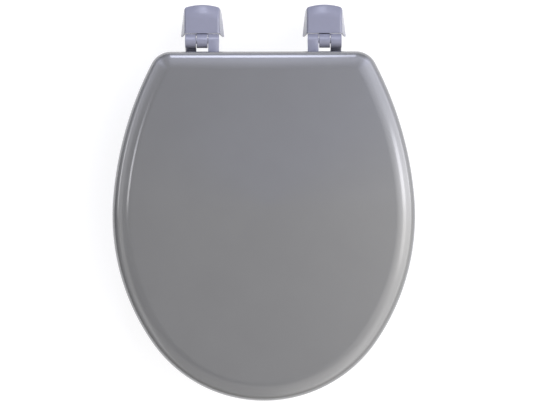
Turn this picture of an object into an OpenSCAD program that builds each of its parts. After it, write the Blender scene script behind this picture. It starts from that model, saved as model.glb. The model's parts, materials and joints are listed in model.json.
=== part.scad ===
// Round toilet seat: moulded-wood lid and seat ring on two plastic hinges
// with flip-up caps, bolts and wing nuts. Millimetres, +Z up, front towards -Y.
// The origin lies midway between the two bolts, on the bowl deck.

/* [Lid outline] */
// Width of the lid at its widest
lid_w = 345; // [330:1:370]
// Length of the lid from back edge to nose
lid_l = 398; // [380:1:440]
// How much the nose's radius is less than half the lid's width
nose_less = 17.5; // [12:0.5:32]
// Radius of the widest part of each side
side_r = 253; // [230:1:290]
// Radius of each flank behind the widest part
flank_r = 405; // [360:5:460]
// Heading at which the flank takes over from the side, in degrees
flank_start = 95; // [92:0.5:100]
// Radius of the two back corners
corner_r = 25; // [24:1:32]

/* [Lid section] */
// Thickness of the lid at its flat panel
lid_t = 15; // [13:0.5:20]
// Radius of the rounded outer edge
edge_r = 9; // [6:0.5:11]
// Tilt of the surface where the edge runs into the shoulder, in degrees
edge_tilt = 12; // [8:1:18]
// Radius of the long shoulder between edge and panel
shoulder_r = 70; // [30:1:70]
// Radius of the lower edge of lid and ring
under_r = 3; // [1:0.5:3.5]

/* [Seat ring] */
// Distance of the ring's outline inside the lid's
ring_inset = 4; // [1:0.5:6]
// Thickness of the ring at its crown
ring_t = 17; // [15:0.5:22]
// Width of the front rail
ring_front_w = 62; // [56:1:75]
// Width of the opening
open_w = 221; // [200:1:226]
// Length of the opening
open_l = 268; // [255:1:280]
// Radius of the opening at its front
open_front_r = 88; // [75:1:95]
// Radius of the opening at its sides
open_side_r = 190; // [180:1:260]
// Radius of the ring's outer edge
ring_edge_r = 8; // [6:0.5:9]
// Tilt where the outer edge runs into the ring's shoulder, in degrees
ring_edge_tilt = 15; // [12:1:18]
// Radius of the ring's inner edge
ring_inner_r = 9; // [6:0.5:10]
// Tilt where the inner edge runs into the ring's slope, in degrees
ring_inner_tilt = 24; // [15:1:26]
// Radius of the shoulder and the slope of the ring
ring_shoulder_r = 46; // [30:1:48]

/* [Heights] */
// Space under the ring, which is the height of its bumpers
bowl_gap = 7; // [6:0.5:12]
// Space between ring and lid, which is the height of the lid's bumpers
lid_gap = 6; // [5.5:0.5:12]

/* [Hinges] */
// Distance between the two bolts
bolt_pitch = 140; // [120:1:160]
// Distance of the hinge axis in front of the bolts
axis_front = 22; // [21.5:0.5:28]
// Distance of the lid's back edge in front of the hinge axis
edge_front = 12.7; // [11:0.1:16]
// Radius of the knuckles
knuckle_r = 8; // [7:0.5:8.5]
// Width of one knuckle
knuckle_w = 12.4; // [10:0.1:14]
// Gap between two knuckles
knuckle_gap = 0.8; // [0.4:0.1:1.5]
// Radius of the hinge pin
pin_r = 3; // [2:0.1:4]
// Depth of the pin's ends inside the outer knuckles
pin_sink = 0.3; // [0:0.1:1]
// Radial clearance of the turning knuckles on the pin
pin_clear = 0.06; // [0.02:0.01:0.1]

/* [Wings] */
// Thickness of the wing plates
plate_t = 4; // [3:0.25:5]
// Thickness of the arm between the lid's knuckle and its plate
arm_t = 5; // [4:0.25:6]
// Width of the wing plates
plate_w = 25.6; // [22:0.2:30]
// Length of the wing plates in front of the lid's back edge
plate_l = 50; // [44:1:60]
// Distance between the two screws of a wing
wing_screw_pitch = 22; // [18:1:28]
// Distance of the front screw from the end of its plate
wing_screw_end = 11; // [9:0.5:14]
// Thickness of the strut between the ring's knuckle and its plate
strut_t = 5; // [4:0.25:6]
// Distance of the strut behind the lid's back edge
strut_back = 1.4; // [0.6:0.1:2]

/* [Hinge bases] */
// Thickness of the foot
foot_t = 5; // [4:0.5:6]
// Half width of the foot at its front
foot_half_w = 21; // [19:0.5:22]
// Half width of the foot at its back
foot_back_half_w = 17.2; // [16:0.1:17.4]
// Distance of the foot's front edge from the bolt
foot_front = 12.5; // [12:0.5:13]
// Distance of the foot's back edge from the bolt
foot_back = 9; // [8:0.5:9.5]
// Distance of the web's back end from the bolt
web_back = 10; // [9:0.5:11]
// Thickness of each fin that carries the cap's pivot
fin_t = 2.4; // [2:0.1:2.6]
// Distance of the fins' inner faces from the bolt's axis
fin_x = 9.6; // [9.5:0.1:10]
// Radius of the fins around the pivot
fin_r = 3; // [2.6:0.1:3.1]
// Distance of the fins' upper front corner behind the bolt
fin_front = 3; // [1:0.5:5]

/* [Hinge caps] */
// Half width of the cap's top
cap_top_half_w = 20; // [19:0.1:21]
// Half width of the cap's skirt at the back
cap_back_half_w = 21.6; // [21:0.1:23]
// Half width of the cap's skirt at the front
cap_front_half_w = 25; // [23:0.1:26]
// Distance of the cap's back corners behind the bolt
cap_back = 16; // [15:0.5:18]
// Bow of the cap's back wall
cap_bow = 3.8; // [1:0.1:4]
// Gap between the cap's raked front and the knuckles
cap_gap = 0.6; // [0.4:0.1:1.5]
// How far the skirt's front corners run ahead of the top's front edge
cap_rake = 3.2; // [0:0.1:4]
// Height of the cap's top above the hinge axis
cap_over_axis = 1; // [-1:0.5:1.5]
// Radius of the top where it falls to the back
cap_crown_r = 32; // [28:1:45]
// Length of the falling part of the top
cap_fall_l = 16; // [10:0.5:18]
// Wall thickness of the cap
cap_wall = 1.8; // [1.2:0.1:2.2]
// Radius of the cap's outer edges
cap_edge_r = 1.6; // [0.8:0.1:2]
// Gap between the cap's skirt and the bowl deck
cap_lift = 0.6; // [0.3:0.1:1]
// Height of the cap's pivot above the deck
pivot_z = 7; // [6.8:0.1:8]
// Radius of the pivot stubs
pivot_r = 1.8; // [1.4:0.1:1.9]
// Length of the pivot stubs
pivot_l = 2.2; // [1.5:0.1:2.4]
// Radial clearance of the pivot stubs in the cap
pivot_clear = 0.08; // [0.03:0.01:0.1]
// Thickness of the lugs inside the cap that hang on the pivot stubs
lug_t = 2.4; // [1.8:0.1:3]
// Gap between lugs and fins
lug_gap = 0.25; // [0.1:0.05:0.5]
// Radius of the fillets inside the cap
cap_inner_r = 0.4; // [0.2:0.1:1]

/* [Bolts and nuts] */
// Radius of the bolt's plain shank
shank_r = 4.75; // [4:0.05:5]
// Radius of the thread's crests
thread_r = 4.5; // [4:0.05:4.55]
// Pitch of the thread
thread_pitch = 2; // [1.5:0.1:3]
// Depth of the thread
thread_depth = 0.9; // [0.5:0.05:1.2]
// Length of the bolt below the deck
bolt_l = 68; // [60:1:80]
// Radius of the bolt's head
head_r = 9; // [8:0.1:9.5]
// Height of the bolt's head
head_h = 3.6; // [3:0.1:4.5]
// Radius of the collar under the head
collar_r = 5.6; // [5.2:0.1:6]
// Thickness of the bowl's deck that the bolts clamp
deck_t = 28; // [20:1:36]
// Radius of the washers
washer_r = 15; // [12:0.5:18]
// Thickness of the washers
washer_t = 3; // [2:0.5:4]
// Radius of the wing nut's hub
nut_hub_r = 9; // [8:0.5:11]
// Height of the wing nut's hub
nut_h = 12; // [10:0.5:16]
// Reach of the wing nut's wings from its axis
nut_reach = 23; // [18:0.5:28]
// Thickness of the wing nut's wings
nut_wing_t = 3.4; // [2.5:0.1:4.5]
// Radius of the tips of the wings
nut_tip_r = 4.5; // [3:0.1:5]
// Width of the slot in the bolt's head
slot_w = 2; // [1.2:0.1:2.5]
// Depth of the slot in the bolt's head
slot_d = 1.8; // [1.2:0.1:2.5]
// Radial clearance of the bolts in foot and washer
bolt_clear = 0.4; // [0.2:0.05:0.8]
// Radial clearance of the bolt's thread in the nut
thread_clear = 0.15; // [0.1:0.01:0.2]

/* [Bumpers and small fasteners] */
// Length of a bumper
bumper_l = 36; // [28:1:44]
// Width of a bumper
bumper_w = 14; // [12:0.5:18]
// Distance of the ring's bumpers inside the lid's outline
ring_bumper_in = 33; // [30:0.5:36]
// Distance of the lid's bumpers inside the lid's outline
lid_bumper_in = 30; // [28:0.5:32]
// Radius of a nail's shank
nail_r = 1.3; // [1:0.05:1.6]
// Length of a nail in the wood
nail_l = 8; // [6:0.5:9]
// Radius of a nail's head
nail_head_r = 3; // [2.4:0.1:3.5]
// Thickness of a nail's head
nail_head_t = 1.2; // [0.8:0.1:1.6]
// Depth of a nail's head below the bumper's face
nail_sink = 1; // [0.5:0.1:1.5]
// Distance between the two nails of a bumper
nail_pitch = 18; // [14:1:22]
// Radius of a wood screw's shank
screw_r = 2.1; // [1.8:0.1:2.5]
// Length of a wood screw in the wood
screw_l = 9; // [7:0.5:10]
// Radius of a wood screw's head
screw_head_r = 4; // [3.5:0.1:4.5]
// Radial clearance of screws and nails in their holes
hole_clear = 0.05; // [0.02:0.01:0.1]
// Heading of the ring's front bumpers on the widest part of the side, in degrees
front_bumper_angle = -30; // [-33:1:-24]
// Heading of the ring's rear bumpers on the flank, in degrees
rear_bumper_angle = 16; // [12:1:18]
// Heading of the lid's bumpers on the widest part of the side, in degrees
lid_bumper_angle = -20; // [-24:1:-12]

/* [Hidden] */

$fn = 72;
left = -1;
right = 1;
sides = [left, right];

// Paint of the wood, plastic of the hinges, rubber and steel
paint = [0.53, 0.52, 0.52];
hinge_plastic = [0.61, 0.61, 0.69];
rubber = [0.86, 0.86, 0.86];
steel = [0.72, 0.73, 0.75];

// Heights, from the bowl deck up
ring_z = bowl_gap;
ring_top = ring_z + ring_t;
lid_z = ring_top + lid_gap;
axis_z = lid_z - knuckle_r;
axis_y = -axis_front;
lid_back = axis_y - edge_front;
lid_nose = lid_back - lid_l;

// An arc is [centre x, centre y, radius, start angle, end angle], counterclockwise
function arc_at(a, angle) = [a[0] + a[2] * cos(angle), a[1] + a[2] * sin(angle)];
function arc_start(a) = arc_at(a, a[3]);
function arc_end(a) = arc_at(a, a[4]);
function arcs_moved_in(arcs, d) = [for (a = arcs) [a[0], a[1], a[2] - d, a[3], a[4]]];
function across(a) = [-a[0], a[1], a[2], 180 - a[4], 180 - a[3]];

// Outline of the lid: nose, sides, flanks and back corners, each tangent to the next
nose_r = lid_w / 2 - nose_less;
nose_y = lid_nose + nose_r;
side_x = lid_w / 2 - side_r;
side_y = nose_y + sqrt(pow(side_r - nose_r, 2) - pow(side_x, 2));
nose_end = atan2(nose_y - side_y, -side_x);
flank_x = side_x - (flank_r - side_r) * sin(flank_start);
flank_y = side_y + (flank_r - side_r) * cos(flank_start);
corner_y = lid_back - corner_r;
corner_x = flank_x + sqrt(pow(flank_r - corner_r, 2) - pow(corner_y - flank_y, 2));
flank_end = atan2(corner_y - flank_y, corner_x - flank_x);
side_arc = [side_x, side_y, side_r, nose_end, flank_start - 90];
flank_arc = [flank_x, flank_y, flank_r, flank_start - 90, flank_end];
corner_arc = [corner_x, corner_y, corner_r, flank_end, 90];
lid_arcs = [[0, nose_y, nose_r, -180 - nose_end, nose_end], side_arc, flank_arc, corner_arc,
            across(corner_arc), across(flank_arc), across(side_arc)];
ring_arcs = arcs_moved_in(lid_arcs, ring_inset);

// Outline of the opening: front, sides and back, each tangent to the next
open_nose = lid_nose + ring_inset + ring_front_w;
open_back = open_nose + open_l;
open_front_y = open_nose + open_front_r;
open_side_x = open_w / 2 - open_side_r;
open_side_y = open_front_y + sqrt(pow(open_side_r - open_front_r, 2) - pow(open_side_x, 2));
open_reach = open_back - open_side_y;
open_back_r = (pow(open_side_r, 2) - pow(open_side_x, 2) - pow(open_reach, 2))
            / (2 * (open_side_r - open_reach));
open_back_y = open_back - open_back_r;
open_front_end = atan2(open_front_y - open_side_y, -open_side_x);
open_side_end = atan2(open_back_y - open_side_y, -open_side_x);
open_side_arc = [open_side_x, open_side_y, open_side_r, open_front_end, open_side_end];
open_arcs = [[0, open_front_y, open_front_r, -180 - open_front_end, open_front_end], open_side_arc,
             [0, open_back_y, open_back_r, open_side_end, 180 - open_side_end], across(open_side_arc)];

// Outlines of the hinge's parts sit around the bolt; x there counts from the hinge's middle
knuckle_step = knuckle_w + knuckle_gap;
hinge_half_w = knuckle_step + knuckle_w / 2;
wing_inner = knuckle_w / 2;
wing_outer = hinge_half_w;
plate_end = lid_back - plate_l;
screw_ys = [plate_end + wing_screw_end, plate_end + wing_screw_end + wing_screw_pitch];

// Pivot and rolling edge of the cap
roll_r = pivot_z - cap_lift;
pivot_y = cap_back + cap_bow - roll_r;
cap_top = axis_z + cap_over_axis;
cap_h = cap_top - cap_lift;
cap_front = axis_front - ((knuckle_r + cap_gap) * norm([cap_h, cap_rake]) + cap_over_axis * cap_rake) / cap_h;
bow_r = (pow(cap_back_half_w, 2) + pow(cap_bow, 2)) / (2 * cap_bow);
cap_len = cap_back + cap_bow + cap_front + cap_rake;
lug_r = fin_r + 0.2;

// Steps that each arc of an outline is cut into; both outlines of the ring take as many in all
lid_steps = [20, 10, 7, 7, 7, 7, 10];
open_steps = [18, 17, 17, 17];

// Width of the rounded band along an edge: roundover of radius er, then a shoulder of radius sr
function band_w(er, tilt, sr) = er + (sr - er) * sin(tilt);

// Section of an edge band; x is 0 at the outline and negative inside, y is the height
function edge_section(t, er, tilt, sr) = let (w = band_w(er, tilt, sr),
        ez = t - sr + (sr - er) * cos(tilt))
    [[-under_r, under_r, under_r, -90, 0], [-er, ez, er, 0, 90 - tilt], [-w, t - sr, sr, 90 - tilt, 90]];

// The same run as points; its arcs turn by up to section_step a side, and arcs that meet share a point
section_step = 10;
function section_points(arcs) = [for (i = [0:len(arcs) - 1])
    let (a = arcs[i], n = a[2] > 0 ? max(3, ceil((a[4] - a[3]) / section_step)) : 0,
         met = i > 0 && norm(arc_start(a) - arc_end(arcs[max(i - 1, 0)])) < 0.001)
    each n > 0 ? [for (k = [met ? 1 : 0:n]) arc_at(a, a[3] + (a[4] - a[3]) * k / n)] : [[a[0], a[1]]]];

// Points and outward directions along an outline, [x, y, nx, ny], each arc cut into its own number of steps
function outline_spots(arcs, steps) = [for (i = [0:len(arcs) - 1])
    let (a = arcs[i], met = norm(arc_end(a) - arc_start(arcs[(i + 1) % len(arcs)])) < 0.001)
    each [for (k = [0:steps[i]]) if (k < steps[i] || !met)
        let (angle = a[3] + (a[4] - a[3]) * k / steps[i])
        [arc_at(a, angle)[0], arc_at(a, angle)[1], cos(angle), sin(angle)]]];

// A ring of points for each point of a section, the section standing across the outline
function skin_points(spots, section) = [for (q = section) each
    [for (s = spots) [s[0] + q[0] * s[2], s[1] + q[0] * s[3], q[1]]]];

// Faces between the rings from..to of n points each
function skin_faces(n, from, to) = [for (j = [from:to - 1]) each [for (k = [0:n - 1]) let (m = (k + 1) % n)
    each [[j * n + k, (j + 1) * n + k, (j + 1) * n + m], [j * n + k, (j + 1) * n + m, j * n + m]]]];

// Puts a profile drawn in Y and Z at x0, w wide along X
module across_x(x0, w) translate([x0, 0, 0]) rotate([90, 0, 90]) linear_extrude(w) children();

// A round bar or bore along X
module bar_x(x0, w, y, z, r) translate([x0, y, z]) rotate([0, 90, 0]) cylinder(h = w, r = r);

// Places one side's hinge with its parts drawn for the right-hand side
module hinge_place(side) mirror([side < 0 ? 1 : 0, 0, 0]) translate([bolt_pitch / 2, 0, 0]) children();

// A fastener that stands on z = 0 and points up: shank, and a cone or a disc for a head
module screw_shape(extra) {
    translate([0, 0, -plate_t]) cylinder(h = plate_t + screw_l, r = screw_r + extra);
    translate([0, 0, -plate_t])
        cylinder(h = screw_head_r - screw_r, r1 = screw_head_r + extra, r2 = screw_r + extra);
}

module nail_shape(extra, pad_h, open_below) {
    head_z = -pad_h + nail_sink;
    translate([0, 0, head_z]) cylinder(h = -head_z + nail_l, r = nail_r + extra);
    translate([0, 0, head_z - (open_below ? nail_sink : 0)])
        cylinder(h = nail_head_t + (open_below ? nail_sink : 0), r = nail_head_r + extra);
}

// Screws of the wings, drawn for the right-hand hinge
module lid_screw_spots() {
    for (y = screw_ys) translate([(wing_inner - wing_outer) / 2, y, lid_z]) children();
}

module ring_screw_spots() {
    for (y = screw_ys) translate([(wing_outer - wing_inner) / 2, y, ring_z]) children();
}

// Bumpers lie along the outline; side is left or right
module spot_on(a, in, angle, side, z) {
    at = arc_at([a[0], a[1], a[2] - in, 0, 0], angle);
    translate([side * at[0], at[1], z]) rotate([0, 0, side * angle]) children();
}

module ring_front_spot(side) spot_on(side_arc, ring_bumper_in, front_bumper_angle, side, ring_z) children();
module ring_rear_spot(side) spot_on(flank_arc, ring_bumper_in, rear_bumper_angle, side, ring_z) children();
module lid_spot(side) spot_on(side_arc, lid_bumper_in, lid_bumper_angle, side, lid_z) children();
module nail_pair() {
    for (end = sides) translate([0, end * nail_pitch / 2, 0]) children();
}

module bumper_body(h) {
    straight = bumper_l - bumper_w;
    difference() {
        translate([0, 0, -h]) linear_extrude(h) {
            square([bumper_w, straight], center = true);
            for (end = sides) translate([0, end * straight / 2]) circle(bumper_w / 2);
        }
        nail_pair() nail_shape(hole_clear, h, true);
    }
}

// Lid and ring
module lid_slab() {
    spots = outline_spots(lid_arcs, lid_steps);
    section = section_points(edge_section(lid_t, edge_r, edge_tilt, shoulder_r));
    n = len(spots);
    last = len(section) - 1;
    polyhedron(skin_points(spots, section), concat(skin_faces(n, 0, last),
        [[for (k = [0:n - 1]) k]], [[for (k = [n - 1:-1:0]) last * n + k]]));
}

module ring_slab() {
    outer = outline_spots(ring_arcs, lid_steps);
    inner = outline_spots(open_arcs, open_steps);
    outer_section = section_points(edge_section(ring_t, ring_edge_r, ring_edge_tilt, ring_shoulder_r));
    inner_edge = section_points(edge_section(ring_t, ring_inner_r, ring_inner_tilt, ring_shoulder_r));
    inner_section = [for (i = [len(inner_edge) - 1:-1:0]) [-inner_edge[i][0], inner_edge[i][1]]];
    n = len(outer);
    assert(len(inner) == n);
    rings = len(outer_section) + len(inner_section);
    polyhedron(concat(skin_points(outer, outer_section), skin_points(inner, inner_section)),
        concat(skin_faces(n, 0, rings - 1), [for (k = [0:n - 1]) let (m = (k + 1) % n, t = (rings - 1) * n)
            each [[t + k, k, m], [t + k, m, t + m]]]));
}

module lid() color(paint) difference() {
    translate([0, 0, lid_z]) lid_slab();
    for (side = sides) {
        hinge_place(side) lid_screw_spots() screw_shape(hole_clear);
        lid_spot(side) nail_pair() nail_shape(hole_clear, lid_gap, true);
    }
}

module seat_ring() color(paint) difference() {
    translate([0, 0, ring_z]) ring_slab();
    for (side = sides) {
        hinge_place(side) ring_screw_spots() screw_shape(hole_clear);
        ring_front_spot(side) nail_pair() nail_shape(hole_clear, bowl_gap, true);
        ring_rear_spot(side) nail_pair() nail_shape(hole_clear, bowl_gap, true);
    }
}

// Wings: a knuckle on the pin, an arm and a plate screwed to the wood
module knuckle(x0, bore_r, arm_profile) {
    difference() {
        union() {
            bar_x(x0, knuckle_w, axis_y, axis_z, knuckle_r);
            across_x(x0, knuckle_w) polygon(arm_profile);
        }
        bar_x(x0 - 1, knuckle_w + 2, axis_y, axis_z, bore_r);
    }
}

module wing_plate(x0, y_back, z0) {
    end_r = plate_w / 4;
    translate([x0, 0, z0]) linear_extrude(plate_t) {
        translate([0, plate_end + end_r]) square([plate_w, y_back - plate_end - end_r]);
        translate([end_r, plate_end]) square([plate_w - 2 * end_r, plate_l / 2]);
        for (x = [end_r, plate_w - end_r]) translate([x, plate_end + end_r]) circle(end_r);
    }
}

lid_arm = [[axis_y, lid_z], [axis_y, lid_z - arm_t], [lid_back - 2 * under_r, lid_z - arm_t],
           [lid_back - 2 * under_r, lid_z]];
module lid_wing(side) color(hinge_plastic) hinge_place(side) difference() {
    union() {
        knuckle(-hinge_half_w, pin_r + pin_clear, lid_arm);
        wing_plate(-wing_outer, lid_back - under_r, lid_z - plate_t);
    }
    lid_screw_spots() screw_shape(hole_clear);
}

// The ring's arm drops from its knuckle, behind the lid's back edge, to the plate under the ring
ring_arm = [arc_at([axis_y, axis_z, knuckle_r], 200), [lid_back, ring_z], [lid_back, ring_z - plate_t],
            [lid_back + strut_back + strut_t, ring_z - plate_t], arc_at([axis_y, axis_z, knuckle_r], 262)];
module ring_wing(side) color(hinge_plastic) hinge_place(side) difference() {
    union() {
        knuckle(knuckle_step - knuckle_w / 2, pin_r + pin_clear, ring_arm);
        wing_plate(-wing_inner, lid_back + strut_back, ring_z - plate_t);
    }
    ring_screw_spots() screw_shape(hole_clear);
}

// Base: foot under the bolt's head, web to the middle knuckle, fins with the cap's pivot stubs
web = [arc_at([axis_y, axis_z, knuckle_r], 225), [-foot_front, 0], [-web_back, 0], [-web_back, foot_t],
       arc_at([axis_y, axis_z, knuckle_r], -8)];
fin = [[0, foot_t - 1], [pivot_y - roll_r, foot_t - 0.6], [pivot_y, pivot_z - 1],
       [pivot_y, pivot_z + fin_r], [fin_front, pivot_z + fin_r], [0, foot_t]];
module hinge_base(side) color(hinge_plastic) hinge_place(side) {
    difference() {
        union() {
            difference() {
                linear_extrude(foot_t) polygon([[-foot_half_w, -foot_front], [foot_half_w, -foot_front],
                    [foot_back_half_w, foot_back], [-foot_back_half_w, foot_back]]);
                bar_x(-foot_half_w, 2 * foot_half_w, pivot_y, pivot_z, roll_r + cap_lift / 2);
            }
            bar_x(-knuckle_w / 2, knuckle_w, axis_y, axis_z, knuckle_r);
            across_x(-knuckle_w / 2, knuckle_w) polygon(web);
        }
        bar_x(-knuckle_w, 2 * knuckle_w, axis_y, axis_z, pin_r);
        translate([0, 0, -1]) cylinder(h = foot_t + 2, r = collar_r + bolt_clear);
    }
    for (end = sides) mirror([end < 0 ? 1 : 0, 0, 0]) {
        across_x(fin_x, fin_t) polygon(fin);
        bar_x(fin_x, fin_t, pivot_y, pivot_z, fin_r);
        bar_x(fin_x, fin_t + pivot_l, pivot_y, pivot_z, pivot_r);
    }
}

module hinge_pin(side) color(steel) hinge_place(side)
    bar_x(-hinge_half_w + pin_sink, 2 * (hinge_half_w - pin_sink), axis_y, axis_z, pin_r);

// Cap: flaring sides, a raked front, a top that falls to the back and a bowed back wall
function cap_half_w(y) = cap_back_half_w
    + (cap_front_half_w - cap_back_half_w) * (cap_back - y) / (cap_back + cap_front + cap_rake);

// The block between the two sides and behind the front, spanned by a thin slice below and one above
cap_slice = 1;
module cap_wedge(side_in, ahead) {
    y_back = cap_back + cap_bow + cap_slice;
    y_top = -cap_front - ahead;
    y_low = y_top - cap_rake;
    w_top = cap_top_half_w - side_in;
    w_low = cap_half_w(y_low) - side_in;
    w_back = cap_half_w(y_back) - side_in;
    hull() {
        translate([0, 0, cap_top]) linear_extrude(cap_slice)
            polygon([[-w_top, y_top], [w_top, y_top], [w_top, y_back], [-w_top, y_back]]);
        translate([0, 0, cap_lift - cap_slice]) linear_extrude(cap_slice)
            polygon([[-w_low, y_low], [w_low, y_low], [w_back, y_back], [-w_back, y_back]]);
    }
}

// Side view of the cap as a run of arcs; x there counts from the centre of the bowed back
function cap_view(in, top_r, low, roll) = let (yb = bow_r - in, cr = cap_crown_r - in,
        cy = bow_r - cap_fall_l, cz = cap_top - cap_crown_r, front = bow_r - cap_len - (in > 0 ? 4 : 2),
        ty = yb - top_r, tz = cz + sqrt(pow(cr - top_r, 2) - pow(ty - cy, 2)), turn = atan2(tz - cz, ty - cy))
    [[front, low, 0, 0, 0], [roll ? bow_r - roll_r : yb, roll ? pivot_z : low, roll ? roll_r : 0, -90, 0],
     [ty, tz, top_r, 0, turn], [cy, cz, cr, turn, 90], [front, cap_top - in, 0, 0, 0]];

// Half the angle that the side view is turned through, wide enough for both sides
bow_turn = 62;
module cap_body(in, top_r, low, roll) {
    intersection() {
        cap_wedge(in, in > 0 ? cap_slice : 0);
        translate([0, cap_back + cap_bow - bow_r, 0]) rotate([0, 0, 90 - bow_turn])
            rotate_extrude(angle = 2 * bow_turn, $fn = 240)
                polygon(section_points(cap_view(in, top_r, low, roll)));
    }
}

module cap_lugs() {
    for (end = sides) mirror([end < 0 ? 1 : 0, 0, 0])
        across_x(fin_x + fin_t + lug_gap, lug_t) {
            translate([pivot_y, pivot_z]) circle(lug_r);
            translate([pivot_y - lug_r, pivot_z]) square([2 * lug_r, cap_top]);
        }
}

module hinge_cap(side) color(hinge_plastic) hinge_place(side) difference() {
    cap_body(0, cap_edge_r, cap_lift, true);
    difference() {
        cap_body(cap_wall, cap_inner_r, cap_lift - 1, false);
        cap_lugs();
    }
    bar_x(-fin_x - fin_t - pivot_l - lug_gap, 2 * (fin_x + fin_t + pivot_l + lug_gap), pivot_y, pivot_z,
          pivot_r + pivot_clear);
}

// Bolt: slotted head, collar in the foot, plain shank through the deck, then the thread
thread_n = floor((bolt_l - deck_t - 2) / thread_pitch);
thread_core = thread_r - thread_depth;
bolt_profile = concat(
    [[0, -bolt_l], [thread_core, -bolt_l], [thread_core, -deck_t - thread_n * thread_pitch]],
    [for (k = [thread_n - 1:-1:0]) each [[thread_r, -deck_t - (k + 0.5) * thread_pitch],
                                         [thread_core, -deck_t - k * thread_pitch]]],
    [[shank_r, -deck_t], [shank_r, 0], [collar_r, 0], [collar_r, foot_t], [head_r, foot_t],
     [head_r, foot_t + head_h - 1], [head_r - 1, foot_t + head_h], [0, foot_t + head_h]]);
module bolt(side) color(hinge_plastic) hinge_place(side) difference() {
    rotate_extrude() polygon(bolt_profile);
    translate([-head_r - 1, -slot_w / 2, foot_t + head_h - slot_d])
        cube([2 * head_r + 2, slot_w, slot_d + 1]);
}

module washer(side) color(hinge_plastic) hinge_place(side) translate([0, 0, -deck_t - washer_t])
    difference() {
        cylinder(h = washer_t, r = washer_r);
        translate([0, 0, -1]) cylinder(h = washer_t + 2, r = thread_r + bolt_clear);
    }

// Wing nut: a hub with two wings that slope down and end in round tips
nut_top = -deck_t - washer_t;
module wing_nut(side) color(hinge_plastic) hinge_place(side) translate([0, 0, nut_top]) difference() {
    union() {
        translate([0, 0, -nut_h]) cylinder(h = nut_h, r1 = nut_hub_r - 1, r2 = nut_hub_r);
        for (end = sides) rotate([90, 0, end < 0 ? 180 : 0]) translate([0, 0, -nut_wing_t / 2])
            linear_extrude(nut_wing_t) {
                translate([nut_reach - nut_tip_r, -nut_h - 1]) circle(nut_tip_r);
                polygon([[nut_hub_r / 2, -1.5], [nut_reach - nut_tip_r + 1, -nut_h - 1 + nut_tip_r],
                         [nut_reach - nut_tip_r - 1, -nut_h - 1 - nut_tip_r], [nut_hub_r / 2, -nut_h]]);
            }
    }
    translate([0, 0, -nut_h - 1]) cylinder(h = nut_h + 2, r = thread_r + thread_clear);
}

module lid_bumper(side) color(rubber) lid_spot(side) bumper_body(lid_gap);
module ring_bumper_front(side) color(rubber) ring_front_spot(side) bumper_body(bowl_gap);
module ring_bumper_rear(side) color(rubber) ring_rear_spot(side) bumper_body(bowl_gap);

module lid_wing_screws() color(steel) {
    for (side = sides) hinge_place(side) lid_screw_spots() screw_shape(0);
}

module ring_wing_screws() color(steel) {
    for (side = sides) hinge_place(side) ring_screw_spots() screw_shape(0);
}

module lid_bumper_nails() color(steel) {
    for (side = sides) lid_spot(side) nail_pair() nail_shape(0, lid_gap, false);
}

module ring_bumper_nails() color(steel) {
    for (side = sides) {
        ring_front_spot(side) nail_pair() nail_shape(0, bowl_gap, false);
        ring_rear_spot(side) nail_pair() nail_shape(0, bowl_gap, false);
    }
}

lid();
seat_ring();
lid_wing(left);  // lid_wing_left
lid_wing(right);  // lid_wing_right
ring_wing(left);  // ring_wing_left
ring_wing(right);  // ring_wing_right
hinge_base(left);  // hinge_base_left
hinge_base(right);  // hinge_base_right
hinge_pin(left);  // hinge_pin_left
hinge_pin(right);  // hinge_pin_right
hinge_cap(left);  // hinge_cap_left
hinge_cap(right);  // hinge_cap_right
bolt(left);  // bolt_left
bolt(right);  // bolt_right
washer(left);  // washer_left
washer(right);  // washer_right
wing_nut(left);  // wing_nut_left
wing_nut(right);  // wing_nut_right
lid_bumper(left);  // lid_bumper_left
lid_bumper(right);  // lid_bumper_right
ring_bumper_front(left);  // ring_bumper_front_left
ring_bumper_front(right);  // ring_bumper_front_right
ring_bumper_rear(left);  // ring_bumper_rear_left
ring_bumper_rear(right);  // ring_bumper_rear_right
lid_wing_screws();
ring_wing_screws();
lid_bumper_nails();
ring_bumper_nails();
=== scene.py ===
import json
import math

import bmesh
import bpy
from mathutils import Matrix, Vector


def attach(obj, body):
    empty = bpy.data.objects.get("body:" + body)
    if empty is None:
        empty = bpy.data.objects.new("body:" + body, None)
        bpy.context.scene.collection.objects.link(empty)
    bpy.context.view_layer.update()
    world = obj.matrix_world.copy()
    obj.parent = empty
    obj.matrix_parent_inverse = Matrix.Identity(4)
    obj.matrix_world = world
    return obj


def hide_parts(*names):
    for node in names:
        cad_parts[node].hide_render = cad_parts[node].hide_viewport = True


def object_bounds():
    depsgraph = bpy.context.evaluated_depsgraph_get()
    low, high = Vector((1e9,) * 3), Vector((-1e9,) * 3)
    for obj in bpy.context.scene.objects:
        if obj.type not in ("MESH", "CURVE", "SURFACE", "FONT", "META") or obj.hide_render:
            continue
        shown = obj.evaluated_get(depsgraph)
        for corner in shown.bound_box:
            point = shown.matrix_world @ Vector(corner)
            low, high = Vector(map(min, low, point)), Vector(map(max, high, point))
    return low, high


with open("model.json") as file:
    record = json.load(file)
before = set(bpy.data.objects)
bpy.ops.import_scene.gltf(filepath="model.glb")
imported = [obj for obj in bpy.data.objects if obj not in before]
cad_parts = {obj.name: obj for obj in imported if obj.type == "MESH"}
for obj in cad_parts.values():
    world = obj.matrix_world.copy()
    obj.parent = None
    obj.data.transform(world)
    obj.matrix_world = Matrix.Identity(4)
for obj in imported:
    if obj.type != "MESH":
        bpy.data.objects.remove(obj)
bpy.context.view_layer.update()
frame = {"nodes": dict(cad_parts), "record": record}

MM = 0.001

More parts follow.
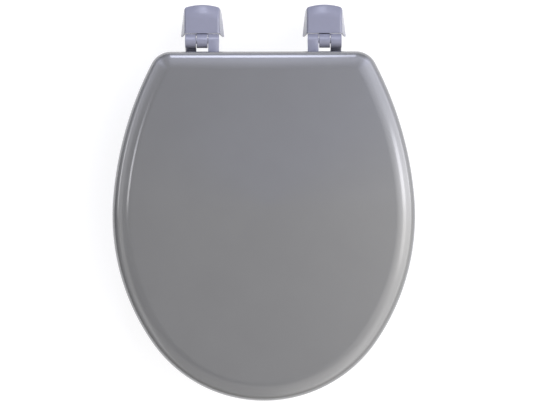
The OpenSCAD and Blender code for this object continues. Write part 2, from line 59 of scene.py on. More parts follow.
# Sizes of the frame in millimetres
LID_W, LID_L = 345.0, 398.0
NOSE_R, SIDE_R, FLANK_R, CORNER_R = 155.0, 253.0, 405.0, 25.0
FLANK_START = 95.0
LID_T, LID_EDGE_R, LID_EDGE_TILT, LID_SHOULDER_R = 15.0, 9.0, 12.0, 70.0
RING_T, RING_EDGE_R, RING_EDGE_TILT, RING_SHOULDER_R = 17.0, 8.0, 15.0, 46.0
RING_INNER_R, RING_INNER_TILT = 9.0, 24.0
UNDER_R = 3.0
RING_INSET, RING_FRONT_W = 4.0, 62.0
OPEN_W, OPEN_L, OPEN_FRONT_R, OPEN_SIDE_R = 221.0, 268.0, 88.0, 190.0
LID_BACK, LID_Z, RING_Z = -34.7, 30.0, 7.0
BOLT_X = 70.0
AXIS_Y, AXIS_Z, KNUCKLE_R = -22.0, 22.0, 8.0

# Fineness of the meshes, and how CAD shapes get their eased edges
LID_SPOTS, RING_SPOTS = 720, 640
EASED_SEGMENTS, EASED_ANGLE = 3, 34
MERGE_DIST, FLAT_ANGLE = 0.002, 0.6


def cos(a):
    return math.cos(math.radians(a))


def sin(a):
    return math.sin(math.radians(a))


def atan2(y, x):
    return math.degrees(math.atan2(y, x))


# Outlines

def across(arc):
    """the arc on the other side"""
    x, y, r, start, end = arc
    return (-x, y, r, 180 - end, 180 - start)


def lid_arcs(inset):
    """the lid's outline as arcs (x, y, radius, start, end), drawn in by inset"""
    nose_y = LID_BACK - LID_L + NOSE_R
    side_x = LID_W / 2 - SIDE_R
    side_y = nose_y + math.sqrt((SIDE_R - NOSE_R) ** 2 - side_x ** 2)
    nose_end = atan2(nose_y - side_y, -side_x)
    flank_x = side_x - (FLANK_R - SIDE_R) * sin(FLANK_START)
    flank_y = side_y + (FLANK_R - SIDE_R) * cos(FLANK_START)
    corner_y = LID_BACK - CORNER_R
    corner_x = flank_x + math.sqrt((FLANK_R - CORNER_R) ** 2 - (corner_y - flank_y) ** 2)
    flank_end = atan2(corner_y - flank_y, corner_x - flank_x)
    half = [(side_x, side_y, SIDE_R, nose_end, FLANK_START - 90),
            (flank_x, flank_y, FLANK_R, FLANK_START - 90, flank_end),
            (corner_x, corner_y, CORNER_R, flank_end, 90)]
    arcs = [(0, nose_y, NOSE_R, -90, nose_end)] + half
    arcs += [across(a) for a in reversed(arcs)]
    return [(x, y, r - inset, a, b) for x, y, r, a, b in arcs]


def opening_arcs():
    """the outline of the opening in the ring"""
    front = LID_BACK - LID_L + RING_INSET + RING_FRONT_W
    back = front + OPEN_L
    front_y = front + OPEN_FRONT_R
    side_x = OPEN_W / 2 - OPEN_SIDE_R
    side_y = front_y + math.sqrt((OPEN_SIDE_R - OPEN_FRONT_R) ** 2 - side_x ** 2)
    reach = back - side_y
    back_r = (OPEN_SIDE_R ** 2 - side_x ** 2 - reach ** 2) / (2 * (OPEN_SIDE_R - reach))
    back_y = back - back_r
    front_end = atan2(front_y - side_y, -side_x)
    side_end = atan2(back_y - side_y, -side_x)
    arcs = [(0, front_y, OPEN_FRONT_R, -90, front_end), (side_x, side_y, OPEN_SIDE_R, front_end, side_end),
            (0, back_y, back_r, side_end, 90)]
    return arcs + [across(a) for a in reversed(arcs)]


def walk(arcs, count):
    """count evenly spaced spots (x, y, outward x, outward y) along a closed run of arcs and the straights between"""
    runs = []
    for i, (x, y, r, a, b) in enumerate(arcs):
        runs.append((math.radians(b - a) * r, "arc", (x, y, r, a, b)))
        nx, ny, nr, na, _ = arcs[(i + 1) % len(arcs)]
        here = Vector((x + r * cos(b), y + r * sin(b)))
        there = Vector((nx + nr * cos(na), ny + nr * sin(na)))
        if (there - here).length > 0.01:
            runs.append(((there - here).length, "straight", (here, there, b)))
    total = sum(run[0] for run in runs)
    spots = []
    for k in range(count):
        s = total * k / count
        i = 0
        while s > runs[i][0]:
            s -= runs[i][0]
            i += 1
        length, kind, data = runs[i]
        if kind == "arc":
            x, y, r, a, b = data
            angle = a + (b - a) * s / length
            spots.append((x + r * cos(angle), y + r * sin(angle), cos(angle), sin(angle)))
        else:
            here, there, angle = data
            p = here.lerp(there, s / length)
            spots.append((p.x, p.y, cos(angle), sin(angle)))
    return spots


def edge_section(t, er, tilt, sr):
    """points (offset, height, normal outward, normal up) of a rounded edge, from the underside to the top"""
    width = er + (sr - er) * sin(tilt)
    rise = t - sr + (sr - er) * cos(tilt)
    arcs = [(-UNDER_R, UNDER_R, UNDER_R, -90, 0, 8), (-er, rise, er, 0, 90 - tilt, 22),
            (-width, t - sr, sr, 90 - tilt, 90, 12)]
    return [(x + r * cos(a + (b - a) * k / n), z + r * sin(a + (b - a) * k / n),
             cos(a + (b - a) * k / n), sin(a + (b - a) * k / n))
            for x, z, r, a, b, n in arcs for k in range(n + 1)]


# Meshes

def add_object(name, verts, faces, normals=None):
    mesh = bpy.data.meshes.new(name)
    mesh.from_pydata([tuple(c * MM for c in v) for v in verts], [], faces)
    mesh.validate()
    for polygon in mesh.polygons:
        polygon.use_smooth = True
    if normals:
        mesh.normals_split_custom_set_from_vertices(normals)
    piece = bpy.data.objects.new(name, mesh)
    bpy.context.collection.objects.link(piece)
    return piece


def skin(spots, section, z0, verts, normals):
    """sweeps a section along an outline, adding points and their normals"""
    for off, z, out, up in section:
        for x, y, nx, ny in spots:
            verts.append((x + off * nx, y + off * ny, z0 + z))
            normals.append((out * nx, out * ny, up))


def strips(n, first, last):
    """faces between neighbouring rounds of n points"""
    return [(j * n + k, j * n + (k + 1) % n, (j + 1) * n + (k + 1) % n, (j + 1) * n + k)
            for j in range(first, last) for k in range(n)]


def make_lid():
    """the smooth lid"""
    spots = walk(lid_arcs(0), LID_SPOTS)
    section = edge_section(LID_T, LID_EDGE_R, LID_EDGE_TILT, LID_SHOULDER_R)
    verts, normals = [], []
    skin(spots, section, LID_Z, verts, normals)
    n, last = len(spots), len(section) - 1
    faces = strips(n, 0, last) + [tuple(range(n - 1, -1, -1)), tuple(last * n + k for k in range(n))]
    return add_object("lid_board", verts, faces, normals)


def make_ring():
    """the smooth seat ring with its opening"""
    outer, inner = walk(lid_arcs(RING_INSET), RING_SPOTS), walk(opening_arcs(), RING_SPOTS)
    outer_section = edge_section(RING_T, RING_EDGE_R, RING_EDGE_TILT, RING_SHOULDER_R)
    inner_section = [(-off, z, -out, up) for off, z, out, up in
                     reversed(edge_section(RING_T, RING_INNER_R, RING_INNER_TILT, RING_SHOULDER_R))]
    verts, normals = [], []
    skin(outer, outer_section, RING_Z, verts, normals)
    skin(inner, inner_section, RING_Z, verts, normals)
    n, rings = RING_SPOTS, len(outer_section) + len(inner_section)
    faces = strips(n, 0, rings - 1)
    top = (rings - 1) * n
    faces += [(top + k, top + (k + 1) % n, (k + 1) % n, k) for k in range(n)]
    return add_object("seat_ring_board", verts, faces, normals)


def eased(stem, width):
    """a copy of a frame node with its sharp edges rounded as a mould leaves them"""
    mesh = frame["nodes"][stem].data.copy()
    bm = bmesh.new()
    bm.from_mesh(mesh)
    bmesh.ops.remove_doubles(bm, verts=bm.verts, dist=MERGE_DIST * MM)
    bmesh.ops.dissolve_limit(bm, angle_limit=math.radians(FLAT_ANGLE), verts=bm.verts, edges=bm.edges)
    bm.to_mesh(mesh)
    bm.free()
    piece = bpy.data.objects.new(stem + "_eased", mesh)
    bpy.context.collection.objects.link(piece)
    bevel = piece.modifiers.new("edges", "BEVEL")
    bevel.width = width * MM
    bevel.segments = EASED_SEGMENTS
    bevel.limit_method = "ANGLE"
    bevel.angle_limit = math.radians(EASED_ANGLE)
    bevel.use_clamp_overlap = False
    weigh_flats(piece)
    return piece


def weigh_flats(piece):
    """lets the large flats lead the shading, and keeps sharp edges"""
    weigh = piece.modifiers.new("flats", "WEIGHTED_NORMAL")
    weigh.keep_sharp = True
    settle(piece)


def settle(piece):
    """keeps the result of the modifiers as the piece's own mesh"""
    shaped = piece.evaluated_get(bpy.context.evaluated_depsgraph_get())
    mesh = bpy.data.meshes.new_from_object(shaped)
    piece.modifiers.clear()
    piece.data = mesh
    for polygon in mesh.polygons:
        polygon.use_smooth = True


# Hinge caps

CAP_TOP_HALF_W, CAP_BACK_HALF_W, CAP_FRONT_HALF_W = 20.0, 21.6, 25.0
CAP_BACK, CAP_BOW, CAP_GAP, CAP_RAKE = 16.0, 3.8, 0.6, 3.2
CAP_TOP, CAP_LIFT, CAP_WALL = 23.0, 0.6, 1.8
CAP_CROWN_R, CAP_FALL_L = 32.0, 16.0
CAP_EDGE_R, CAP_CORNER_R, CAP_TOE_R = 3.0, 3.8, 1.6
PIVOT_Z, ROLL_R = 7.0, 6.4
PIVOT_Y = CAP_BACK + CAP_BOW - ROLL_R
CAP_LIP = 0.3
CAP_SHARP_ANGLE = 40
BACK_FOOT = PIVOT_Z - math.sqrt(ROLL_R ** 2 - (ROLL_R - CAP_WALL + CAP_LIP) ** 2)
LUG_X, LUG_T, LUG_R = 12.25, 2.4, 3.2
LUG_HOLE_R, LUG_HOLE_L = 1.88, 2.2
# Ribs along half the outline: side, corner, bow; the top's rows end at rib TOP_ROWS
SIDE_RIBS, CORNER_RIBS, BOW_RIBS = 14, 6, 9
TOP_ROWS = 17
WALL_STEPS, EDGE_STEPS = 12, 7
LUG_SPOTS = 48
CAP_H = CAP_TOP - CAP_LIFT
CAP_FRONT = -AXIS_Y - ((KNUCKLE_R + CAP_GAP) * math.hypot(CAP_H, CAP_RAKE)
                       + (CAP_TOP - AXIS_Z) * CAP_RAKE) / CAP_H
BOW_R = (CAP_BACK_HALF_W ** 2 + CAP_BOW ** 2) / (2 * CAP_BOW)
BOW_Y = CAP_BACK + CAP_BOW - BOW_R


def cap_crown(x, y, inset):
    """height of the cap's top and its slope away from the bow's centre"""
    over = max(math.hypot(x, y - BOW_Y) - BOW_R + CAP_FALL_L, 0)
    level = math.sqrt((CAP_CROWN_R - inset) ** 2 - over ** 2)
    return CAP_TOP - CAP_CROWN_R + level, over / level


def cap_outline(z, inset):
    """right half of the cap's outline at a height, front to back: (x, y, heading of the outward side)"""
    share = (z - CAP_LIFT) / CAP_H
    lean = -(CAP_FRONT_HALF_W - CAP_BACK_HALF_W) / (CAP_BACK + CAP_FRONT + CAP_RAKE) * (1 - share)
    half = CAP_BACK_HALF_W - lean / max(1 - share, 1e-6) * CAP_BACK
    half = half + (CAP_TOP_HALF_W - half) * share - inset
    toe = max(CAP_TOE_R - (z - CAP_LIFT), 0)
    front = -CAP_FRONT - CAP_RAKE * (1 - share) + CAP_TOE_R - math.sqrt(CAP_TOE_R ** 2 - toe ** 2)
    bow = BOW_R - inset
    if z < PIVOT_Z:
        rolled = BOW_R - ROLL_R + math.sqrt(max(ROLL_R ** 2 - (PIVOT_Z - z) ** 2, 0))
        bow = min(bow, rolled - CAP_LIP) if inset else rolled
    r = max(CAP_CORNER_R - inset, 0.5)
    tilt = math.sqrt(1 + lean ** 2)
    a, b = half - r * tilt, bow - r
    m = a * lean - BOW_Y
    cy = (-m + math.sqrt(m * m - tilt ** 2 * (a * a + BOW_Y ** 2 - b * b))) / tilt ** 2
    cx = a + lean * cy
    start, turn = atan2(-lean, 1), atan2(cy - BOW_Y, cx)
    rear = cy + r * sin(start)
    points = [(half + lean * y, y, start)
              for y in (front + (rear - front) * k / SIDE_RIBS for k in range(SIDE_RIBS + 1))]
    points += [(cx + r * cos(h), cy + r * sin(h), h)
               for h in (start + (turn - start) * k / CORNER_RIBS for k in range(1, CORNER_RIBS + 1))]
    points += [(bow * cos(h), BOW_Y + bow * sin(h), h)
               for h in (turn + (90 - turn) * k / BOW_RIBS for k in range(1, BOW_RIBS + 1))]
    return points


def cap_rib(k, inset):
    """points of one rib of the cap, from the lower edge up the side and over the rounded top edge"""
    z = CAP_TOP - 1
    for _ in range(4):
        x, y, h = cap_outline(z, inset)[k]
        z, slope = cap_crown(x, y, inset)
    below = cap_outline(z - 1, inset)[k]
    spread = (below[0] - x) * cos(h) + (below[1] - y) * sin(h)
    rise = slope * cos(h - atan2(y - BOW_Y, x))
    down, inward = Vector((spread, -1)).normalized(), Vector((-1, rise)).normalized()
    half = down.angle(inward) / 2
    r = max(CAP_EDGE_R - inset, 0.5)
    centre = (down + inward).normalized() * (r / math.sin(half))
    first, last = down * (r / math.tan(half)), inward * (r / math.tan(half))
    foot = CAP_LIFT + (BACK_FOOT - CAP_LIFT) * min(max(k - SIDE_RIBS, 0) / CORNER_RIBS, 1)
    top = z + first.y
    rib = []
    for j in range(WALL_STEPS):
        height = foot + (top - foot) * (j / WALL_STEPS) ** 1.3
        px, py, _ = cap_outline(height, inset)[k]
        rib.append((px, py, height))
    a, b = first - centre, last - centre
    sweep = a.angle(b)
    for j in range(EDGE_STEPS + 1):
        t = sweep * j / EDGE_STEPS
        p = centre + (a * math.sin(sweep - t) + b * math.sin(t)) / math.sin(sweep)
        px, py = x + p.x * cos(h), y + p.x * sin(h)
        settle_z = cap_crown(x + last.x * cos(h), y + last.x * sin(h), inset)[0] - z - last.y
        rib.append((px, py, z + p.y + settle_z * (j / EDGE_STEPS) ** 2))
    return rib


def make_lug(end):
    """a lug inside the cap that hangs on the base's pivot stub, with a blind hole for the stub"""
    bm = bmesh.new()
    turns = [360 * k / LUG_SPOTS for k in range(LUG_SPOTS)]
    half, run = LUG_SPOTS // 2, LUG_SPOTS // 6
    edge = [(LUG_R, k / run) for k in range(run)]
    edge += [(LUG_R - 2 * LUG_R * k / run, 1) for k in range(run + 1)]
    edge += [(-LUG_R, (run - k) / run) for k in range(1, run)]
    edge += [(LUG_R * cos(h), LUG_R * sin(h)) for h in turns[half:]]

    def around(x):
        spots = []
        for k, (y, z) in enumerate(edge):
            if k < half:
                z *= cap_crown(x, PIVOT_Y + y, CAP_WALL)[0] + CAP_WALL / 2 - PIVOT_Z
            spots.append(bm.verts.new((end * x, PIVOT_Y + y, PIVOT_Z + z)))
        return spots

    near, far = around(LUG_X), around(LUG_X + LUG_T)
    mouth, bottom = ([bm.verts.new((end * x, PIVOT_Y + LUG_HOLE_R * cos(h), PIVOT_Z + LUG_HOLE_R * sin(h)))
                      for h in turns] for x in (LUG_X, LUG_X + LUG_HOLE_L))
    for a, b in ((near, far), (mouth, near), (bottom, mouth)):
        for k in range(LUG_SPOTS):
            n = (k + 1) % LUG_SPOTS
            bm.faces.new((a[k], a[n], b[n], b[k]))
    bm.faces.new(far)
    bm.faces.new(bottom)
    bmesh.ops.recalc_face_normals(bm, faces=bm.faces)
    return bm


def placed(bm, name, side):
    """the finished shape as a piece of the left or right hinge"""
    for v in bm.verts:
        v.co = Vector(((v.co.x + side * BOLT_X) * MM, v.co.y * MM, v.co.z * MM))
    mesh = bpy.data.meshes.new(name)
    bm.to_mesh(mesh)
    bm.free()
    piece = bpy.data.objects.new(name, mesh)
    bpy.context.collection.objects.link(piece)
    return piece


def make_cap(side, body):
    """a hollow cap, open below and at the front: ribs around the sides and rows across the top, outside and inside"""
    bm = bmesh.new()
    rims = []
    for inset in (0, CAP_WALL):
        half = [cap_rib(k, inset) for k in range(1 + SIDE_RIBS + CORNER_RIBS + BOW_RIBS)]
        ribs = half + [[(-x, y, z) for x, y, z in rib] for rib in reversed(half[:-1])]
        ribs = [[bm.verts.new(p) for p in rib] for rib in ribs]
        for low, high in zip(ribs, ribs[1:]):
            for j in range(len(low) - 1):
                bm.faces.new((low[j], high[j], high[j + 1], low[j + 1]))
        bow = [rib[-1] for rib in ribs[TOP_ROWS:-TOP_ROWS]]
        rows = []
        for k in range(TOP_ROWS):
            a, b = ribs[k][-1], ribs[-1 - k][-1]
            row = [a]
            for spot in bow[1:-1]:
                x, y = spot.co.x * a.co.x / bow[0].co.x, a.co.y + (spot.co.y - bow[0].co.y) * k / TOP_ROWS
                row.append(bm.verts.new((x, y, cap_crown(x, y, inset)[0])))
            rows.append(row + [b])
        for low, high in zip(rows, rows[1:] + [bow]):
            for c in range(len(bow) - 1):
                bm.faces.new((low[c], low[c + 1], high[c + 1], high[c]))
        rims.append(ribs[0] + rows[0][1:-1] + ribs[-1][::-1] + [rib[0] for rib in ribs[-2:0:-1]])
    outer, inner = rims
    for k in range(len(outer)):
        n = (k + 1) % len(outer)
        bm.faces.new((outer[k], outer[n], inner[n], inner[k]))
    bmesh.ops.recalc_face_normals(bm, faces=bm.faces)
    piece = placed(bm, "cap_shell_" + body[4:], side)
    for end in (-1, 1):
        lug = placed(make_lug(end), "lug", side)
        join = piece.modifiers.new("lug", "BOOLEAN")
        join.operation, join.solver, join.object = "UNION", "EXACT", lug
        settle(piece)
        bpy.data.objects.remove(lug)
    piece.data.set_sharp_from_angle(angle=math.radians(CAP_SHARP_ANGLE))
    weigh_flats(piece)
    return piece


# Materials

def node(tree, kind, inputs=None, **settings):
    """a node with its inputs linked or set"""
    made = tree.nodes.new(kind)
    for key, value in settings.items():
        setattr(made, key, value)
    for key, value in (inputs or {}).items():
        if isinstance(value, bpy.types.NodeSocket):
            tree.links.new(value, made.inputs[key])
        else:
            made.inputs[key].default_value = value
    return made


def new_group(name, inputs, outputs):
    """an empty shader group with named inputs and outputs"""
    group = bpy.data.node_groups.new(name, "ShaderNodeTree")
    for label, kind, default in inputs:
        socket = group.interface.new_socket(label, in_out="INPUT", socket_type=kind)
        socket.default_value = default
    for label, kind in outputs:
        group.interface.new_socket(label, in_out="OUTPUT", socket_type=kind)
    return group, group.nodes.new("NodeGroupInput"), group.nodes.new("NodeGroupOutput")


def make_mottle():
    """faint cloudy change of tone and a soft unevenness of the surface"""
    group, given, out = new_group("surface_mottle", [
        ("Tone", "NodeSocketColor", (0.5, 0.5, 0.5, 1)), ("Darker", "NodeSocketColor", (0.45, 0.45, 0.45, 1)),
        ("Size", "NodeSocketFloat", 12.0), ("Spread", "NodeSocketFloat", 0.5)],
        [("Color", "NodeSocketColor"), ("Mask", "NodeSocketFloat"), ("Height", "NodeSocketFloat")])
    place = node(group, "ShaderNodeTexCoord")
    cloud = node(group, "ShaderNodeTexNoise", {"Vector": place.outputs["Object"], "Scale": given.outputs["Size"],
                                               "Detail": 3.0, "Roughness": 0.55})
    fine = node(group, "ShaderNodeTexNoise", {"Vector": place.outputs["Object"], "Scale": 420.0, "Detail": 2.0})
    mask = node(group, "ShaderNodeMapRange", {"Value": cloud.outputs["Fac"], "From Min": 0.35, "From Max": 0.65})
    share = node(group, "ShaderNodeMath", {0: mask.outputs["Result"], 1: given.outputs["Spread"]}, operation="MULTIPLY")
    mixed = node(group, "ShaderNodeMix", {"Factor": share.outputs[0]}, data_type="RGBA")
    group.links.new(given.outputs["Tone"], mixed.inputs[6])
    group.links.new(given.outputs["Darker"], mixed.inputs[7])
    group.links.new(mixed.outputs[2], out.inputs["Color"])
    group.links.new(mask.outputs["Result"], out.inputs["Mask"])
    group.links.new(fine.outputs["Fac"], out.inputs["Height"])
    return group


MOTTLE = make_mottle()


def new_material(name, tone, darker, size, spread, roughness, bump, coat=0.0, coat_roughness=0.03, metallic=0.0,
                 specular=0.5):
    material = bpy.data.materials.new(name)
    material.use_nodes = True
    tree = material.node_tree
    tree.nodes.clear()
    out = tree.nodes.new("ShaderNodeOutputMaterial")
    mottle = node(tree, "ShaderNodeGroup", node_tree=MOTTLE)
    mottle.inputs["Tone"].default_value = (*tone, 1)
    mottle.inputs["Darker"].default_value = (*darker, 1)
    mottle.inputs["Size"].default_value = size
    mottle.inputs["Spread"].default_value = spread
    rough = node(tree, "ShaderNodeMapRange", {"Value": mottle.outputs["Mask"], "To Min": roughness[0],
                                              "To Max": roughness[1]})
    surface = node(tree, "ShaderNodeBump", {"Height": mottle.outputs["Height"], "Strength": bump[0],
                                            "Distance": bump[1]})
    shader = node(tree, "ShaderNodeBsdfPrincipled", {
        "Base Color": mottle.outputs["Color"], "Roughness": rough.outputs["Result"], "Metallic": metallic,
        "Specular IOR Level": specular, "Coat Weight": coat, "Coat Roughness": coat_roughness, "Coat IOR": 1.7,
        "Coat Normal": surface.outputs["Normal"], "Normal": surface.outputs["Normal"]})
    tree.links.new(shader.outputs["BSDF"], out.inputs["Surface"])
    return material


def srgb(r, g, b):
    """a colour as the nodes take it, from its 0 to 255 values"""
    return tuple(((c / 255 + 0.055) / 1.055) ** 2.4 if c > 10 else c / 255 / 12.92 for c in (r, g, b))


PAINT = new_material("gloss_paint_grey", srgb(124, 124, 122), srgb(120, 120, 118), 14, 0.6, (0.06, 0.1),
                     (0.05, 0.00002), coat=1.0, coat_roughness=0.02, specular=1.0)
PLASTIC = new_material("hinge_plastic_grey", srgb(150, 151, 166), srgb(145, 146, 161), 60, 0.5, (0.1, 0.16),
                       (0.1, 0.00003))
BOLT_PLASTIC = new_material("bolt_plastic_grey", srgb(150, 151, 166), srgb(142, 143, 158), 80, 0.6, (0.3, 0.4),
                            (0.2, 0.00004))
RUBBER = new_material("bumper_rubber", srgb(214, 214, 212), srgb(204, 204, 200), 90, 0.6, (0.5, 0.62), (0.3, 0.00005))
STEEL = new_material("zinc_steel", srgb(190, 192, 196), srgb(170, 172, 176), 120, 0.6, (0.25, 0.4), (0.2, 0.00003),
                     metallic=1.0)


def clad(piece, material):
    """gives a piece its one material"""
    piece.data.materials.clear()
    piece.data.materials.append(material)


# Pieces

BODY_OF = {name: body for body, names in frame["record"]["behaviour"]["bodies"].items() for name in names}

lid = make_lid()
clad(lid, PAINT)
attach(lid, "lid")
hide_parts("lid")

ring = make_ring()
clad(ring, PAINT)
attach(ring, "ring")
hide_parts("seat_ring")

for side, body in ((-1, "cap_left"), (1, "cap_right")):
    cap = make_cap(side, body)
    clad(cap, PLASTIC)
    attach(cap, body)
    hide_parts("hinge_" + body)

EASED = [("lid_wing", 0.5, PLASTIC, "hinge_plastic"), ("ring_wing", 0.5, PLASTIC, "hinge_plastic"),
         ("hinge_base", 0.4, PLASTIC, "hinge_plastic"), ("washer", 0.5, BOLT_PLASTIC, "bolt_plastic"),
         ("wing_nut", 0.6, BOLT_PLASTIC, "bolt_plastic"), ("lid_bumper", 0.8, RUBBER, "bumper_plastic"),
         ("ring_bumper_front", 0.8, RUBBER, "bumper_plastic"), ("ring_bumper_rear", 0.8, RUBBER, "bumper_plastic")]
for stem, width, material, slot in EASED:
    for side in ("left", "right"):
        name = stem + "_" + side
        piece = eased(name, width)
        clad(piece, material)
        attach(piece, BODY_OF[name])
        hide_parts(name)

for name in ("bolt_left", "bolt_right"):
    clad(frame["nodes"][name], BOLT_PLASTIC)
for name in ("hinge_pin_left", "hinge_pin_right", "lid_wing_screws", "ring_wing_screws", "lid_bumper_nails",
             "ring_bumper_nails"):
    clad(frame["nodes"][name], STEEL)


# Floor, light and camera

def make_floor():
    """a pale sheet just under the bolts: a white background with the shadow on it, and clear from below"""
    size, below, card_tone, glow_strength = 30.0, 0.0005, 0.4, 0.79
    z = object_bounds()[0][2] - below
    verts = [(x / MM * size / 2, y / MM * size / 2 - 200, z / MM) for x, y in ((-1, -1), (1, -1), (1, 1), (-1, 1))]
    floor = add_object("white_floor", verts, [(0, 1, 2, 3)])
    material = bpy.data.materials.new("white_card")
    material.use_nodes = True
    tree = material.node_tree
    tree.nodes.clear()
    card = node(tree, "ShaderNodeBsdfDiffuse", {"Color": (card_tone, card_tone, card_tone, 1), "Roughness": 0.5})
    path = node(tree, "ShaderNodeLightPath")
    seen = node(tree, "ShaderNodeMath", {0: path.outputs["Is Camera Ray"], 1: path.outputs["Is Glossy Ray"]},
                operation="MAXIMUM")
    seen = node(tree, "ShaderNodeMath", {0: seen.outputs[0], 1: path.outputs["Is Transmission Ray"]},
                operation="MAXIMUM")
    seen = node(tree, "ShaderNodeMath", {0: seen.outputs[0], 1: glow_strength}, operation="MULTIPLY")
    glow = node(tree, "ShaderNodeEmission", {"Color": (1, 1, 1, 1), "Strength": seen.outputs[0]})
    both = node(tree, "ShaderNodeAddShader", {0: card.outputs[0], 1: glow.outputs[0]})
    clear = node(tree, "ShaderNodeBsdfTransparent")
    side = node(tree, "ShaderNodeNewGeometry")
    shown = node(tree, "ShaderNodeMixShader", {0: side.outputs["Backfacing"], 1: both.outputs[0], 2: clear.outputs[0]})
    out = node(tree, "ShaderNodeOutputMaterial", {"Surface": shown.outputs[0]})
    floor.data.materials.append(material)


def ramp(tree, value, stops):
    """strength along an angle or a height, in straight runs between stops (place, strength)"""
    low, high = stops[0][0], stops[-1][0]
    scaled = node(tree, "ShaderNodeMapRange", {"Value": value, "From Min": low, "From Max": high})
    curve = node(tree, "ShaderNodeFloatCurve", {"Value": scaled.outputs["Result"]})
    points = curve.mapping.curves[0].points
    peak = max(s[1] for s in stops)
    places = [((a - low) / (high - low), v / peak) for a, v in stops]
    points[0].location, points[1].location = places[0], places[-1]
    for place in places[1:-1]:
        points.new(*place)
    for point in points:
        point.handle_type = "VECTOR"
    curve.mapping.update()
    return node(tree, "ShaderNodeMath", {0: curve.outputs["Value"], 1: peak}, operation="MULTIPLY").outputs[0]


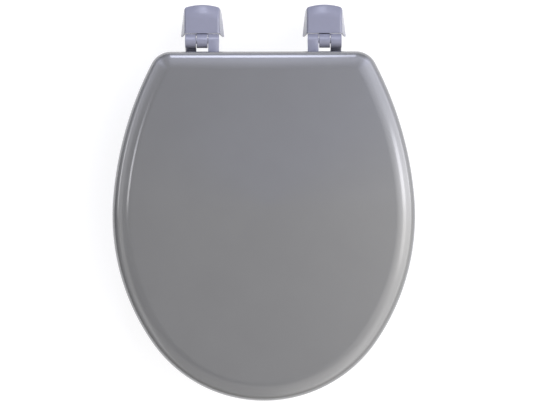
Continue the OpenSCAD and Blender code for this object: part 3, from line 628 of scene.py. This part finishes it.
def make_world():
    """a dim studio with a cool soft box at the back, a wide bright wall to the right and narrow strips at the sides"""
    world = bpy.data.worlds.new("studio")
    bpy.context.scene.world = world
    world.use_nodes = True
    tree = world.node_tree
    tree.nodes.clear()
    place = node(tree, "ShaderNodeTexCoord")
    axes = node(tree, "ShaderNodeSeparateXYZ", {"Vector": place.outputs["Generated"]})

    def math_node(kind, a, b):
        return node(tree, "ShaderNodeMath", {0: a, 1: b}, operation=kind).outputs[0]

    def angle(a, b):
        return math_node("MULTIPLY", math_node("ARCTAN2", a, b), 180 / math.pi)

    x, y, z = axes.outputs
    right = angle(x, z)
    back = angle(y, z)
    heading = angle(x, y)
    bearing = angle(y, node(tree, "ShaderNodeMath", {0: x}, operation="ABSOLUTE").outputs[0])
    glow = ramp(tree, right, [(-90, 0.05), (-60, 0.12), (-30, 0.4), (-12, 0.2), (-6, 0.2), (-3, 0.27), (0, 0.46),
                              (2, 0.68), (3.5, 0.92), (5, 1.11), (8, 1.45), (12, 1.87), (18, 2.9), (35, 2.8), (60, 2.9),
                              (90, 2.6)])
    glow_window = ramp(tree, back, [(-90, 0), (-45, 0.26), (-26, 0.52), (-15, 0.57), (-8, 0.65), (0, 1), (10, 0.5),
                                    (18, 0.4), (26, 0.5), (40, 0.1), (90, 0)])
    low_window = ramp(tree, bearing, [(-90, 0.03), (-80, 0.15), (-65, 0.39), (-45, 0.47), (-25, 0.63), (-8, 0.9),
                                      (8, 1.1), (25, 0.56), (45, 0.44), (65, 0.1), (90, 0)])
    front_glow = ramp(tree, back, [(-90, 1.05), (-60, 0.67), (-40, 0.47), (-26, 0.37), (-14, 0.26), (-9, 0), (90, 0)])
    front_window = ramp(tree, right, [(-90, 0.56), (-45, 0.66), (-25, 0.76), (-10, 1.05), (15, 1), (30, 0.75),
                                      (90, 0.65)])
    rear_glow = ramp(tree, back, [(-90, 0), (4, 0), (9, 0.33), (13, 0.55), (17, 0.8), (21, 1), (40, 1.1), (90, 1.2)])
    rear_glow_window = ramp(tree, bearing, [(-90, 0), (0, 0.4), (30, 0.85), (48, 1.1), (62, 0.3), (75, 0.4), (90, 1)])
    rear_box = ramp(tree, back, [(-90, 0), (26, 0), (27.4, 3.6), (56, 3.6), (63, 0.7), (90, 0.3)])
    rear_box_window = ramp(tree, heading, [(-180, 0), (-6.2, 0), (-3.6, 1), (2.2, 1), (3.6, 0), (180, 0)])
    left_strips = ramp(tree, right, [(-90, 0), (-41, 0), (-38, 1.8), (-27.5, 1.8), (-26.5, 0), (-11.6, 0),
                                     (-10.8, 2.3), (-8.8, 2.3), (-8, 0), (90, 0)])
    left_window = ramp(tree, bearing, [(-90, 0), (-1, 0), (4, 1), (14, 1), (22, 0.35), (30, 0), (90, 0)])
    right_strips = ramp(tree, right, [(-90, 0), (14.5, 0), (15.5, 1.8), (20.5, 1.8), (21.5, 0), (44, 0), (47, 1.3),
                                      (58, 1.3), (62, 0), (90, 0)])
    right_window = ramp(tree, bearing, [(-90, 0), (-20, 0), (-12, 0.3), (0, 0.4), (5, 1), (14, 1), (20, 0), (90, 0)])
    crest = ramp(tree, right, [(-90, 0), (-28, 0), (-25.5, 0.35), (-21, 0.35), (-18.5, 0), (90, 0)])
    crest_window = ramp(tree, bearing, [(-90, 0), (-60, 0), (-45, 1), (20, 1), (35, 0), (90, 0)])
    total = math_node("MULTIPLY", glow, math_node("MAXIMUM", glow_window, low_window))
    for part, window in ((front_glow, front_window), (rear_glow, rear_glow_window), (rear_box, rear_box_window),
                         (left_strips, left_window), (right_strips, right_window), (crest, crest_window)):
        total = math_node("ADD", total, math_node("MULTIPLY", part, window))
    low_dim = ramp(tree, z, [(0, 0.42), (0.28, 0.42), (0.5, 0.56), (0.72, 1.04), (1, 1.04)])
    total = math_node("MULTIPLY", total, low_dim)
    above = node(tree, "ShaderNodeMapRange", {"Value": z, "From Min": -0.02, "From Max": 0.02}).outputs["Result"]
    strength = node(tree, "ShaderNodeMix", {"Factor": above}, data_type="FLOAT")
    strength.inputs[2].default_value = 0.9
    tree.links.new(total, strength.inputs[3])
    cool = ramp(tree, bearing, [(-90, 0), (-5, 0), (15, 0.35), (45, 1), (90, 1)])
    tint = node(tree, "ShaderNodeMix", {"Factor": cool}, data_type="RGBA")
    tint.inputs[6].default_value = (1.0, 0.985, 0.965, 1)
    tint.inputs[7].default_value = (0.94, 0.975, 1.22, 1)
    shade = node(tree, "ShaderNodeBackground", {"Color": tint.outputs[2], "Strength": strength.outputs[0]})
    out = node(tree, "ShaderNodeOutputWorld")
    tree.links.new(shade.outputs[0], out.inputs["Surface"])


def make_camera():
    """straight above at three metres, with the back of the seat up"""
    height, px = 3.0, 1.1446
    data = bpy.data.cameras.new("camera")
    camera = bpy.data.objects.new("camera", data)
    bpy.context.collection.objects.link(camera)
    camera.location = (0.0054, -0.2097, height + 0.02)
    camera.rotation_euler = (0, 0, math.radians(-0.15))
    data.sensor_width = 36
    data.sensor_fit = "HORIZONTAL"
    data.lens = 36 * height / (537 * px * MM)
    data.clip_end = 50
    bpy.context.scene.camera = camera


make_floor()
make_world()
make_camera()
bpy.context.scene.view_settings.view_transform = "Standard"
